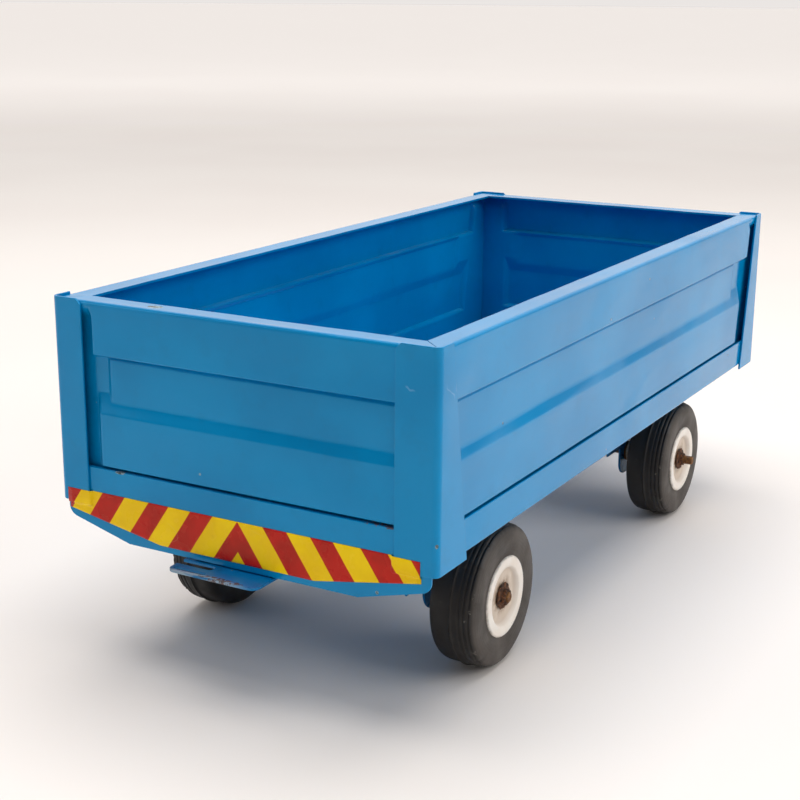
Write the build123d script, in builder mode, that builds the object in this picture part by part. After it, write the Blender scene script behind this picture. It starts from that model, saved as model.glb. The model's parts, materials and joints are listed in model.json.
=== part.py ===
from build123d import *
import os
from math import asin, atan2, cos, hypot, sin

# Pressed-steel toy farm trailer: an open load box on four rubber-tyred wheels, with a steering
# front bogie and a drawbar. Millimetres. +X points forwards to the drawbar, +Y to the trailer's
# left and +Z up. The origin is on the ground, under the middle of the trailer, drawbar included.

# ---- Driving dimensions ---------------------------------------------------------------------

# Load box, measured over the corner posts
box_length = 327.0
box_width = 150.0
post_height = 72.7
sheet = 0.9
post_bend = 2.4

# Corner posts: the flange along the side tapers upwards, the flange across the end is parallel
side_flange_foot = 20.0
side_flange_head = 8.75
end_flange_right = 15.5
end_flange_left = 12.5
end_flange_chamfer = 2.0

# Floor tray and tail apron
tray_above_tyres = 8.6
tray_underside_above_post_foot = 1.6
sill_height = 11.8
tray_bend = 1.3
apron_side_inset = 2.5
apron_bottom_below_post_foot = 12.2
apron_end_below_post_foot = 5.2
apron_flat_half = 46.0
apron_corner_radius = 4.0

# Load box walls: depths are pressed outwards from the plane of the wall's base sheet
wall_top_below_post_top = 0.7
top_flange_width = 7.5
top_flange_bend = 1.4
upper_press_depth = 2.6
middle_press_depth = 1.0
lower_press_depth = 2.3
upper_zone_height = 18.8
slope_top_below_wall_top = 34.8
slope_height = 4.1
lower_zone_above_sill = 1.3
press_end_draw = 1.6
upper_press_draw = 0.3
lower_press_draw = 0.5
mitre_gap = 0.3
seam_gap = 0.15

# Clear distance from each wall's pressed zones to the outside of the box, at both ends
side_margin_tail = 6.0
side_margin_head_gap = 4.0
end_margin_left = 14.8
end_margin_right = 10.0

# How much further in the middle and lower zones stop than the upper one
side_middle_extra = 15.0
side_lower_extra = 3.5
end_middle_extra = 6.2
end_lower_extra = 1.7

# Chevron label across the tail
label_thickness = 0.15
label_side_inset = 4.6
label_offset = 1.4
label_top_above_post_foot = 4.7
label_bottom_below_post_foot = 9.9
label_end_below_post_foot = 2.8
label_flat_half = 31.0

# Chassis channel and tow hook
channel_depth = 14.2
channel_half_width = 18.0
channel_foot_width = 7.0
channel_past_kingpin = 14.0
hook_reach = 10.5
hook_half_width = 18.0
hook_offset = 4.0
hook_inboard_length = 30.0
hook_corner_radius = 3.0
hook_mouth_width = 3.6
hook_mouth_length = 14.0
hook_slot_length = 13.0
hook_slot_width = 1.9
hook_slot_from_edge = 2.5

# Wheels
tail_axle_from_tail = 71.5
head_axle_from_tail = 259.0
tyre_radius = 26.5
tyre_width = 16.8
tyre_inset_from_side = 10.2
hub_rim_radius = 14.8
hub_groove_depth = 1.0
hub_flange_width = 1.2
hub_rim_wall = 2.0
hub_ring_inner_radius = 10.8
hub_recess_depth = 1.9
hub_recess_draw = 0.6
hub_web_thickness = 5.0
hub_boss_radius = 5.0
hub_rim_proud = 0.25
hub_inner_inset = 0.9

# Tyre section: (distance from the inner or outer face, drop below the full radius)
inner_wall = [(0.0, 5.5), (0.8, 2.9)]
tread_inner = [(2.6, 1.3), (8.3, 1.0), (8.8, 0.0), (9.4, 0.0), (9.8, 0.5)]
outer_groove = [(5.2, 0.4), (4.8, 1.0), (4.3, 1.0), (3.9, 0.5)]
shoulder_groove = [(3.0, 0.6), (2.6, 1.2), (2.1, 1.2), (1.7, 1.0)]
outer_wall = [(0.5, 2.6), (0.0, 5.0)]
bead_inset = 0.6
bead_roll_inset = 0.3
bead_roll_rise = 3.0

# Axles, caps and washers
axle_radius = 2.0
tail_axle_past_rim = 1.45
head_axle_past_rim = 3.95
head_axle_shift = 1.0
axle_end_chamfer = 0.4
cap_disc_radius = 5.35
cap_disc_thickness = 0.7
cap_hat_radius = 3.4
cap_height = 2.5
cap_hat_taper = 0.4
washer_radius = 4.5
washer_thickness = 0.8

# Axle carriages: one fixed under the tail, one turning under the head
carriage_inside_tyres = 10.0
carriage_half_length = 24.0
carriage_skirt_above_axle = 3.0
carriage_bend = 2.0
tail_lug_half_width = 11.0
tail_lug_below_axle = 9.0
head_lug_half_width = 8.5
head_lug_below_axle = 10.5
lug_blend = 1.5
lug_end_rounding = 0.8

# Kingpin and turntable
kingpin_radius = 2.5
kingpin_head_radius = 5.0
kingpin_head_height = 1.6
turntable_radius = 13.0
turntable_thickness = 1.0

# Drawbar, its pin and its clevis
clevis_half_width = 13.9
clevis_start = 7.0
pin_ahead_of_axle = 30.0
pin_below_bogie = 10.1
pin_radius = 1.5
pin_head_radius = 2.6
pin_head_height = 1.0
clevis_boss_radius = 4.5
clevis_boss_rounding = 0.9
drawbar_length = 110.0
drawbar_thickness = 2.0
drawbar_half_width_root = 8.0
drawbar_half_width_tip = 5.0
knuckle_radius = 3.4
eye_radius = 7.5
eye_bore_radius = 3.2

# Rivets that hold the tow hook and the tail carriage to the channel
rivet_radius = 1.5
rivet_head_radius = 2.8
rivet_head_height = 1.0
head_rounding = 0.6
hook_rivet_spacing = 18.0
carriage_rivet_spacing = 24.0

# Fits
running_clearance = 0.06
axial_clearance = 0.3

# ---- Derived places -------------------------------------------------------------------------

side_y = box_width / 2
tray_bottom = 2 * tyre_radius + tray_above_tyres
post_foot_height = tray_bottom - tray_underside_above_post_foot
post_top = post_foot_height + post_height
tray_floor = tray_bottom + sheet
sill_top = tray_bottom + sill_height

wall_top = post_top - wall_top_below_post_top
base_inset = sheet + upper_press_depth
side_base_y = side_y - base_inset
end_base_half = box_length / 2 - base_inset
apron_half_width = side_y - apron_side_inset
label_half_width = side_y - label_side_inset

tyre_outer_face = side_y - tyre_inset_from_side
tyre_inner_face = tyre_outer_face - tyre_width
hub_rim_face = tyre_outer_face + hub_rim_proud
hub_recess_face = hub_rim_face - hub_recess_depth
tail_axle_length = 2 * (hub_rim_face + tail_axle_past_rim)
head_axle_length = 2 * (hub_rim_face + head_axle_past_rim)

carriage_half_width = tyre_inner_face - carriage_inside_tyres
carriage_skirt_height = tyre_radius + carriage_skirt_above_axle
washer_inner_face = carriage_half_width + axial_clearance
hub_boss_face = washer_inner_face + washer_thickness + axial_clearance

channel_bottom = tray_bottom - channel_depth
bogie_top = channel_bottom - turntable_thickness - axial_clearance
pin_height = bogie_top - pin_below_bogie

drawbar_reach = drawbar_length + eye_radius
half_bar = drawbar_thickness / 2
drawbar_droop = asin(pin_height / hypot(drawbar_reach, half_bar)) - atan2(half_bar, drawbar_reach)

pin_from_tail = head_axle_from_tail + pin_ahead_of_axle
tip_from_tail = pin_from_tail + drawbar_reach * cos(drawbar_droop) + half_bar * sin(drawbar_droop)
hook_past_posts = hook_reach - sheet
tail_x = -(tip_from_tail - hook_past_posts) / 2

head_x = tail_x + box_length
box_mid_x = tail_x + box_length / 2
tail_axle_x = tail_x + tail_axle_from_tail
head_axle_x = tail_x + head_axle_from_tail
pin_x = head_axle_x + pin_ahead_of_axle

SIDES = {"right": -1, "left": 1}
AXLES = {"rear": tail_axle_x, "front": head_axle_x}


def finish(piece, name):
    """Label a finished part and write it as its own STEP file."""
    piece.label = name
    export_step(piece, f"parts/{name}.step")


# ---- Load box -------------------------------------------------------------------------------

def post_edge(height):
    """How far the corner post's side flange reaches along the side at a height."""
    share = (height - post_foot_height) / post_height
    return side_flange_foot + share * (side_flange_head - side_flange_foot)


def corner_post(end, side, end_flange):
    """An angle of sheet wrapped round one corner; end is -1 at the tail and +1 at the head."""
    face_x = box_mid_x + end * box_length / 2
    face_y = side * side_y
    corner = (face_x, face_y)
    inside = (face_x - end * sheet, face_y - side * sheet)
    with BuildPart() as post:
        with BuildSketch(Plane.XY.offset(post_foot_height)) as section:
            Polygon(
                (face_x, face_y),
                (face_x - end * side_flange_foot, face_y),
                (face_x - end * side_flange_foot, face_y - side * sheet),
                inside,
                (face_x - end * sheet, face_y - side * end_flange),
                (face_x, face_y - side * end_flange),
            )
            fillet(section.vertices().sort_by_distance(inside)[0], post_bend - sheet)
            fillet(section.vertices().sort_by_distance(corner)[0], post_bend)
        extrude(amount=post_height)
        with BuildSketch(Plane.XZ):
            Polygon(
                (face_x - end * side_flange_foot, post_foot_height),
                (face_x - end * side_flange_head, post_top),
                (face_x - end * 2 * side_flange_foot, post_top),
                (face_x - end * 2 * side_flange_foot, post_foot_height),
            )
        extrude(amount=box_width, both=True, mode=Mode.SUBTRACT)
        free_corner = (face_x, face_y - side * end_flange, post_top)
        chamfer(post.edges().filter_by(Axis.X).sort_by_distance(free_corner)[0], end_flange_chamfer)
    return post.part


def wall_plane(origin_x, origin_y, outward):
    """A wall's own plane: X runs to the right as seen from outside, Y up and Z outwards."""
    normal = Vector(outward)
    return Plane(origin=(origin_x, origin_y, 0), x_dir=Vector(0, 0, 1).cross(normal), z_dir=normal)


def side_ends(gap):
    """Ends of a pressed zone on the right-hand side wall, the head end following the post's edge."""
    half = box_length / 2
    return lambda height: (side_margin_tail - half, half - post_edge(height) - gap)


def end_ends(left, right):
    """Ends of a pressed zone on a tail or head wall, as margins from the box's outer faces."""
    return lambda height: (left - side_y, side_y - right)


def mirrored(ends):
    """The same zone ends on the opposite wall, seen from its own outside."""
    return lambda height: (-ends(height)[1], -ends(height)[0])


def press(plane, zone, mode):
    """Press a zone out of a wall, or cut the hollow behind it one sheet further in."""
    low, high, depth, low_draw, high_draw, ends = zone
    inset = 0.0 if mode == Mode.ADD else sheet
    draws = ((0.0, 0.0, 0.0), (low_draw, high_draw, press_end_draw))
    sections = []
    for level, (raise_low, drop_high, end_draw) in zip((-inset, depth - inset), draws):
        z_low, z_high = low + inset + raise_low, high - drop_high
        low_start, low_stop = ends(z_low)
        high_start, high_stop = ends(z_high)
        narrow = inset + end_draw
        with BuildSketch(plane.offset(level)) as section:
            Polygon(
                (low_start + narrow, z_low),
                (low_stop - narrow, z_low),
                (high_stop - narrow, z_high),
                (high_start + narrow, z_high),
            )
        sections.append(section.sketch)
    loft(sections, ruled=True, mode=mode)


def wall(plane, base_half, outer_half, upper_ends, middle_ends, lower_ends):
    """A wall with three zones pressed outwards and its top edge turned in as a flange."""
    step = wall_top - upper_zone_height
    slope_top = wall_top - slope_top_below_wall_top
    slope_bottom = slope_top - slope_height
    run_out = slope_height * lower_press_depth / (lower_press_depth - middle_press_depth)
    lower_low = sill_top + lower_zone_above_sill
    flange_root = wall_top - sheet - top_flange_bend
    middle = (slope_bottom, step + 2 * sheet, middle_press_depth, 0.0, 0.0, middle_ends)
    lower = (lower_low, slope_bottom + run_out, lower_press_depth, lower_press_draw, run_out, lower_ends)
    upper_face = (step, flange_root + sheet / 2, upper_press_depth, upper_press_draw, 0.0, upper_ends)
    upper_hollow = (step, wall_top - sheet, upper_press_depth, upper_press_draw, 0.0, upper_ends)
    flange_plane = Plane(
        origin=plane.origin + Vector(0, 0, flange_root), x_dir=plane.x_dir, z_dir=(0, 0, 1)
    )
    outer_edge = -upper_press_depth
    tip = outer_half - mitre_gap / 2
    trim = post_bend - sheet + mitre_gap / 2
    with BuildPart() as panel:
        with BuildSketch(flange_plane):
            Polygon(
                (trim - tip, outer_edge),
                (tip - trim, outer_edge),
                (tip - trim, outer_edge + trim),
                (tip - top_flange_width, outer_edge + top_flange_width),
                (top_flange_width - tip, outer_edge + top_flange_width),
                (trim - tip, outer_edge + trim),
            )
        extrude(amount=wall_top - flange_root)
        rim = plane.origin + plane.z_dir * upper_press_depth + Vector(0, 0, wall_top)
        fillet(panel.edges().sort_by_distance(rim)[0], top_flange_bend)
        with BuildSketch(flange_plane):
            with Locations((0, outer_edge + sheet)):
                Rectangle(box_length + box_width, top_flange_width, align=(Align.CENTER, Align.MIN))
        extrude(amount=top_flange_bend, mode=Mode.SUBTRACT)
        with BuildSketch(plane):
            with Locations((0, tray_floor)):
                base_height = wall_top - sheet - tray_floor
                Rectangle(2 * base_half, base_height, align=(Align.CENTER, Align.MIN))
        extrude(amount=-sheet)
        for zone in (upper_face, middle, lower):
            press(plane, zone, Mode.ADD)
        for zone in (upper_hollow, middle, lower):
            press(plane, zone, Mode.SUBTRACT)
    return panel.part


# ---- Floor tray and tail apron --------------------------------------------------------------

def floor_tray():
    """A shallow pressed tray: the load floor and its upturned sills."""
    rear_face = tail_x + 2 * sheet
    front_face = head_x - sheet
    outer_size = (front_face - rear_face, box_width - 2 * sheet)
    middle = ((rear_face + front_face) / 2, 0)
    with BuildPart() as tray:
        with BuildSketch(Plane.XY.offset(tray_bottom)):
            with Locations(middle):
                RectangleRounded(*outer_size, post_bend)
        extrude(amount=sill_height)
        fillet(tray.faces().sort_by(Axis.Z)[0].edges(), tray_bend)
        with BuildSketch(Plane.XY.offset(tray_floor)):
            with Locations(middle):
                RectangleRounded(*[size - 2 * sheet for size in outer_size], post_bend - sheet)
        extrude(amount=sill_height, mode=Mode.SUBTRACT)
    return tray.part


def tail_apron():
    """The flat sheet across the tail, which carries the tail sill and hangs below the posts."""
    low = post_foot_height - apron_bottom_below_post_foot
    end_low = post_foot_height - apron_end_below_post_foot
    with BuildPart() as apron:
        with BuildSketch(Plane.YZ.offset(tail_x + sheet)) as face:
            Polygon(
                (-apron_flat_half, low),
                (apron_flat_half, low),
                (apron_half_width, end_low),
                (apron_half_width, sill_top),
                (-apron_half_width, sill_top),
                (-apron_half_width, end_low),
            )
            for end in (-1, 1):
                knee = face.vertices().sort_by_distance((end * apron_half_width, end_low))[0]
                fillet(knee, apron_corner_radius)
        extrude(amount=sheet)
    return apron.part


def chevron_label():
    """The thin striped label, stuck over the apron and wrapped across both tail posts' feet."""
    top = post_foot_height + label_top_above_post_foot
    low = post_foot_height - label_bottom_below_post_foot
    end_low = post_foot_height - label_end_below_post_foot
    flanges = {"right": (-side_y, end_flange_right), "left": (side_y, -end_flange_left)}
    label_face = tail_x + sheet - label_thickness
    with BuildPart() as label:
        with BuildSketch(Plane.YZ.offset(tail_x - label_thickness)):
            Polygon(
                (label_offset - label_flat_half, low),
                (label_offset + label_flat_half, low),
                (label_offset + label_half_width, end_low),
                (label_offset + label_half_width, top),
                (label_offset - label_half_width, top),
                (label_offset - label_half_width, end_low),
            )
        extrude(amount=sheet + label_thickness)
        inner_right = -side_y + end_flange_right + label_thickness
        inner_left = side_y - end_flange_left - label_thickness
        foot = post_foot_height - label_thickness
        with BuildSketch(Plane.YZ.offset(tail_x - label_thickness)):
            Polygon((inner_right, low), (inner_left, low), (inner_left, top), (inner_right, top))
            Polygon((-side_y, low), (side_y, low), (side_y, foot), (-side_y, foot))
        extrude(amount=sheet, mode=Mode.SUBTRACT)
        for edge, width in flanges.values():
            with BuildSketch(Plane.YZ.offset(tail_x)):
                Polygon(
                    (edge, post_foot_height),
                    (edge + width, post_foot_height),
                    (edge + width, top),
                    (edge, top),
                )
            extrude(amount=sheet, mode=Mode.SUBTRACT)
    return label.part


# ---- Chassis --------------------------------------------------------------------------------

def chassis_channel():
    """The hat-section channel welded under the tray, with rivet holes and the kingpin hole."""
    start = tail_x + 2 * sheet
    stop = head_axle_x + channel_past_kingpin
    inner_half = channel_half_width - sheet
    with BuildPart() as channel:
        with BuildSketch(Plane.YZ.offset(start)):
            Polygon(
                (-channel_half_width, channel_bottom),
                (channel_half_width, channel_bottom),
                (channel_half_width, tray_bottom - sheet),
                (channel_half_width + channel_foot_width, tray_bottom - sheet),
                (channel_half_width + channel_foot_width, tray_bottom),
                (inner_half, tray_bottom),
                (inner_half, channel_bottom + sheet),
                (-inner_half, channel_bottom + sheet),
                (-inner_half, tray_bottom),
                (-channel_half_width - channel_foot_width, tray_bottom),
                (-channel_half_width - channel_foot_width, tray_bottom - sheet),
                (-channel_half_width, tray_bottom - sheet),
            )
        extrude(amount=stop - start)
        with Locations((head_axle_x, 0, channel_bottom)):
            Hole(kingpin_radius)
        with Locations(*rivet_points()):
            Hole(rivet_radius)
    return channel.part


def rivet_points():
    """Rivet centres on the underside of the channel: two for the tow hook, two for the carriage."""
    hook_x = tail_x + 2 * sheet + hook_inboard_length / 2
    hook_points = [(hook_x, side * hook_rivet_spacing / 2, channel_bottom) for side in (-1, 1)]
    carriage_points = [
        (tail_axle_x + end * carriage_rivet_spacing / 2, 0, channel_bottom) for end in (-1, 1)
    ]
    return hook_points + carriage_points


def tow_hook():
    """A tongue below the apron: a mouth open to the left, and a slot along its rear arm."""
    rear = tail_x + sheet - hook_reach
    front = tail_x + 2 * sheet + hook_inboard_length
    left = hook_offset + hook_half_width
    slot_x = rear + hook_slot_from_edge
    mouth_x = tail_x - hook_mouth_width / 2
    with BuildPart() as hook:
        with BuildSketch(Plane.XY.offset(channel_bottom - sheet)) as plan:
            Polygon(
                (rear, hook_offset - hook_half_width),
                (rear, left),
                (tail_x + 2 * sheet, left),
                (tail_x + 2 * sheet, channel_half_width - sheet),
                (front, channel_half_width - sheet),
                (front, sheet - channel_half_width),
                (tail_x + 2 * sheet, hook_offset - hook_half_width),
            )
            for side in (-1, 1):
                corner = (rear, hook_offset + side * hook_half_width)
                fillet(plan.vertices().sort_by_distance(corner)[0], hook_corner_radius)
            with Locations((mouth_x, left)):
                SlotOverall(2 * hook_mouth_length, hook_mouth_width, rotation=90, mode=Mode.SUBTRACT)
            with Locations((slot_x, left - hook_corner_radius / 2 - hook_slot_length / 2)):
                SlotOverall(hook_slot_length, hook_slot_width, rotation=90, mode=Mode.SUBTRACT)
        extrude(amount=sheet)
        with Locations(*rivet_points()[:2]):
            Hole(rivet_radius)
    return hook.part


def carriage(axle_x, top, lug_half_width, lug_below_axle):
    """An inverted trough of sheet whose side lugs carry an axle."""
    lug_bottom = tyre_radius - lug_below_axle
    with BuildPart() as trough:
        with BuildSketch(Plane.XZ.offset(-carriage_half_width)) as side_view:
            with Locations((axle_x, carriage_skirt_height)):
                skirt = (2 * carriage_half_length, top - carriage_skirt_height)
                Rectangle(*skirt, align=(Align.CENTER, Align.MIN))
            with Locations((axle_x, lug_bottom)):
                lug = (2 * lug_half_width, top - lug_bottom)
                Rectangle(*lug, align=(Align.CENTER, Align.MIN))
            ends = side_view.vertices().group_by(Axis.Y)[0]
            fillet(ends, lug_end_rounding * lug_half_width)
            roots = [
                side_view.vertices().sort_by_distance(
                    (axle_x + end * lug_half_width, carriage_skirt_height)
                )[0]
                for end in (-1, 1)
            ]
            fillet(roots, lug_blend)
        extrude(amount=2 * carriage_half_width)
        fillet(trough.faces().sort_by(Axis.Z)[-1].edges().filter_by(Axis.X), carriage_bend)
        with BuildSketch(Plane.YZ.offset(axle_x - carriage_half_length)) as hollow:
            inner_half = carriage_half_width - sheet
            with Locations((0, top - sheet)):
                Rectangle(2 * inner_half, top, align=(Align.CENTER, Align.MAX))
            fillet(hollow.vertices().group_by(Axis.Y)[-1], carriage_bend - sheet)
        extrude(amount=2 * carriage_half_length, mode=Mode.SUBTRACT)
        with Locations(Location((axle_x, 0, tyre_radius), (90, 0, 0))):
            Hole(axle_radius + running_clearance)
    return trough.part


def tail_carriage():
    """The fixed axle carriage, riveted under the chassis channel."""
    with BuildPart() as fixed:
        add(carriage(tail_axle_x, channel_bottom, tail_lug_half_width, tail_lug_below_axle))
        with Locations(*rivet_points()[2:]):
            Hole(rivet_radius)
    return fixed.part


def rivets():
    """Four headed rivets through the channel's web: two in the hook, two in the tail carriage."""
    stack = 2 * sheet
    with BuildPart() as group:
        with Locations(*[(x, y, channel_bottom - sheet) for x, y, z in rivet_points()]):
            Cylinder(rivet_radius, stack, align=(Align.CENTER, Align.CENTER, Align.MIN))
        with Locations(*[(x, y, channel_bottom + sheet) for x, y, z in rivet_points()]):
            Cylinder(rivet_head_radius, rivet_head_height, align=(Align.CENTER, Align.CENTER, Align.MIN))
        with Locations(*[(x, y, channel_bottom - sheet) for x, y, z in rivet_points()]):
            Cylinder(rivet_head_radius, rivet_head_height, align=(Align.CENTER, Align.CENTER, Align.MAX))
        rims = group.edges().filter_by(GeomType.CIRCLE).group_by(Axis.Z)
        fillet(rims[0] + rims[-1], head_rounding * rivet_head_height)
    return group.part


# ---- Steering bogie and drawbar -------------------------------------------------------------

def turntable_washer():
    """The plain disc between the channel and the bogie."""
    with BuildPart() as disc:
        with BuildSketch(Plane.XY.offset(channel_bottom - turntable_thickness)):
            with Locations((head_axle_x, 0)):
                Circle(turntable_radius)
                Circle(kingpin_radius, mode=Mode.SUBTRACT)
        extrude(amount=turntable_thickness)
    return disc.part


def kingpin():
    """The headed pin that the bogie turns on, fast in the channel."""
    low = bogie_top - sheet - axial_clearance - kingpin_head_height
    high = channel_bottom + sheet + kingpin_head_height
    with BuildPart() as pin:
        with BuildSketch(Plane((head_axle_x, 0, 0), x_dir=(1, 0, 0), z_dir=(0, -1, 0))):
            Polygon(
                (0, low),
                (kingpin_head_radius, low),
                (kingpin_head_radius, low + kingpin_head_height),
                (kingpin_radius, low + kingpin_head_height),
                (kingpin_radius, high - kingpin_head_height),
                (kingpin_head_radius, high - kingpin_head_height),
                (kingpin_head_radius, high),
                (0, high),
            )
        revolve(axis=Axis((head_axle_x, 0, 0), (0, 0, 1)))
        fillet(pin.faces().sort_by(Axis.Z)[0].edges(), head_rounding * kingpin_head_height)
        fillet(pin.faces().sort_by(Axis.Z)[-1].edges(), head_rounding * kingpin_head_height)
    return pin.part


def front_bogie():
    """The turning axle carriage, bored for the kingpin."""
    with BuildPart() as bogie:
        add(carriage(head_axle_x, bogie_top, head_lug_half_width, head_lug_below_axle))
        with Locations((head_axle_x, 0, bogie_top)):
            Hole(kingpin_radius + running_clearance)
    return bogie.part


def drawbar_clevis():
    """A trough welded under the bogie's web, whose ears hold the drawbar pin."""
    top = bogie_top - sheet
    start = head_axle_x + clevis_start
    inner_half = clevis_half_width - sheet
    with BuildPart() as clevis:
        with BuildSketch(Plane.XZ.offset(-clevis_half_width)) as side_view:
            Polygon(
                (start, top),
                (start, top - clevis_boss_radius),
                (pin_x, pin_height - clevis_boss_radius),
                (pin_x + clevis_boss_radius, pin_height - clevis_boss_radius),
                (pin_x + clevis_boss_radius, top),
            )
            boss_corner = (pin_x + clevis_boss_radius, pin_height - clevis_boss_radius)
            boss = side_view.vertices().sort_by_distance(boss_corner)[0]
            fillet(boss, clevis_boss_rounding * clevis_boss_radius)
        extrude(amount=2 * clevis_half_width)
        with BuildSketch(Plane.YZ.offset(start)):
            with Locations((0, top - sheet)):
                Rectangle(2 * inner_half, top, align=(Align.CENTER, Align.MAX))
        extrude(amount=box_length, mode=Mode.SUBTRACT)
        with Locations(Location((pin_x, 0, pin_height), (90, 0, 0))):
            Hole(pin_radius)
    return clevis.part


def drawbar_pin():
    """A plain pin with a head at each end, fast in the clevis."""
    with BuildPart() as pin:
        with Locations(Location((pin_x, 0, pin_height), (90, 0, 0))):
            Cylinder(pin_radius, 2 * clevis_half_width)
        for side in (-1, 1):
            with Locations(Location((pin_x, side * clevis_half_width, pin_height), (-90 * side, 0, 0))):
                Cylinder(pin_head_radius, pin_head_height, align=(Align.CENTER, Align.CENTER, Align.MIN))
        fillet(pin.faces().sort_by(Axis.Y)[0].edges(), pin_head_height / 2)
        fillet(pin.faces().sort_by(Axis.Y)[-1].edges(), pin_head_height / 2)
    return pin.part


def drawbar():
    """A flat bar rolled round the pin at its root, with a towing eye resting on the ground."""
    knuckle_half = clevis_half_width - sheet - axial_clearance
    along = (cos(drawbar_droop), 0, -sin(drawbar_droop))
    upward = (sin(drawbar_droop), 0, cos(drawbar_droop))
    bar_plane = Plane(origin=(pin_x, 0, pin_height), x_dir=along, z_dir=upward)
    with BuildPart() as bar:
        with BuildSketch(bar_plane.offset(-half_bar)):
            Polygon(
                (0, -drawbar_half_width_root),
                (drawbar_length, -drawbar_half_width_tip),
                (drawbar_length, drawbar_half_width_tip),
                (0, drawbar_half_width_root),
            )
            with Locations((drawbar_length, 0)):
                Circle(eye_radius)
        extrude(amount=drawbar_thickness)
        with Locations(Location((pin_x, 0, pin_height), (90, 0, 0))):
            Cylinder(knuckle_radius, 2 * knuckle_half)
            Hole(pin_radius + running_clearance)
        with BuildSketch(bar_plane.offset(-half_bar)):
            with Locations((drawbar_length, 0)):
                Circle(eye_bore_radius)
        extrude(amount=drawbar_thickness, mode=Mode.SUBTRACT)
    return bar.part


# ---- Wheels and axles -----------------------------------------------------------------------

def wheel_plane(axle_x, side):
    """Wheel profiles are drawn with X as the distance out from the centreline and Y as radius."""
    return Plane(origin=(axle_x, 0, tyre_radius), x_dir=(0, side, 0), z_dir=(side, 0, 0))


def axle_axis(axle_x):
    return Axis((axle_x, 0, tyre_radius), (0, 1, 0))


def hub(axle_x, side):
    """A moulded hub: rim with a groove for the tyre, dished web and a long inner boss."""
    bore = axle_radius + running_clearance
    groove = hub_rim_radius - hub_groove_depth
    rim_start = tyre_inner_face + hub_inner_inset
    groove_start = rim_start + hub_flange_width
    groove_stop = hub_rim_face - hub_flange_width
    web_back = hub_recess_face - hub_web_thickness
    barrel = groove - hub_rim_wall
    with BuildPart() as moulding:
        with BuildSketch(wheel_plane(axle_x, side)):
            Polygon(
                (hub_boss_face, bore),
                (hub_boss_face, hub_boss_radius),
                (web_back, hub_boss_radius),
                (web_back, barrel),
                (rim_start, barrel),
                (rim_start, hub_rim_radius),
                (groove_start, hub_rim_radius),
                (groove_start, groove),
                (groove_stop, groove),
                (groove_stop, hub_rim_radius),
                (hub_rim_face, hub_rim_radius),
                (hub_rim_face, hub_ring_inner_radius),
                (hub_recess_face, hub_ring_inner_radius - hub_recess_draw),
                (hub_recess_face, bore),
            )
        revolve(axis=axle_axis(axle_x))
    return moulding.part


def tyre(axle_x, side):
    """A solid rubber tyre with ribs round its tread and a bead that fills the hub's groove."""
    bead = hub_rim_radius - hub_groove_depth
    bead_start = tyre_inner_face + hub_inner_inset + hub_flange_width
    bead_stop = hub_rim_face - hub_flange_width
    inner, outer = tyre_inner_face, tyre_outer_face
    wall_points = [(inner + out, tyre_radius - drop) for out, drop in inner_wall]
    tread = [(inner + out, tyre_radius - drop) for out, drop in tread_inner]
    tread += [(outer - back, tyre_radius - drop) for back, drop in outer_groove + shoulder_groove]
    face_points = [(outer - back, tyre_radius - drop) for back, drop in outer_wall]
    bead_edge = (outer - bead_inset, hub_rim_radius)
    with BuildPart() as rubber:
        with BuildSketch(wheel_plane(axle_x, side)):
            with BuildLine():
                Polyline(
                    bead_edge,
                    (bead_stop, hub_rim_radius),
                    (bead_stop, bead),
                    (bead_start, bead),
                    (bead_start, hub_rim_radius),
                    (inner, hub_rim_radius),
                    wall_points[0],
                )
                Spline(*wall_points, tread[0])
                Polyline(*tread)
                bead_roll = (outer - bead_roll_inset, hub_rim_radius + bead_roll_rise)
                Spline(tread[-1], *face_points, bead_roll, bead_edge)
            make_face()
        revolve(axis=axle_axis(axle_x))
    return rubber.part


def axle(axle_x, length, shift):
    """A plain rod with chamfered ends; shift moves it towards the trailer's right."""
    with BuildPart() as rod:
        with Locations(Location((axle_x, -shift, tyre_radius), (90, 0, 0))):
            Cylinder(axle_radius, length)
        chamfer(rod.edges().filter_by(GeomType.CIRCLE), axle_end_chamfer)
    return rod.part


def axle_cap(axle_x, side):
    """A push-on cap: a flat disc with a raised hat that grips the axle's end."""
    start = hub_recess_face + axial_clearance
    with BuildPart() as cap:
        with BuildSketch(wheel_plane(axle_x, side)):
            Polygon(
                (start, axle_radius),
                (start, cap_disc_radius),
                (start + cap_disc_thickness, cap_disc_radius),
                (start + cap_disc_thickness, cap_hat_radius),
                (start + cap_height, cap_hat_radius - cap_hat_taper),
                (start + cap_height, axle_radius),
            )
        revolve(axis=axle_axis(axle_x))
    return cap.part


def axle_washers(axle_x):
    """The pair of washers between an axle's wheels and its carriage."""
    with BuildPart() as pair:
        for side in (-1, 1):
            with BuildSketch(Plane.XZ.offset(-side * washer_inner_face)):
                with Locations((axle_x, tyre_radius)):
                    Circle(washer_radius)
                    Circle(axle_radius, mode=Mode.SUBTRACT)
            extrude(amount=-side * washer_thickness)
    return pair.part


# ---- Build every piece ----------------------------------------------------------------------

os.makedirs("parts", exist_ok=True)

side_outer_half = box_length / 2 - sheet
end_outer_half = side_y - sheet
right_plane = wall_plane(box_mid_x, -side_base_y, (0, -1, 0))
left_plane = wall_plane(box_mid_x, side_base_y, (0, 1, 0))
tail_plane = wall_plane(box_mid_x - end_base_half, 0, (-1, 0, 0))
head_plane = wall_plane(box_mid_x + end_base_half, 0, (1, 0, 0))
side_base_half = end_base_half - sheet - seam_gap

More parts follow.
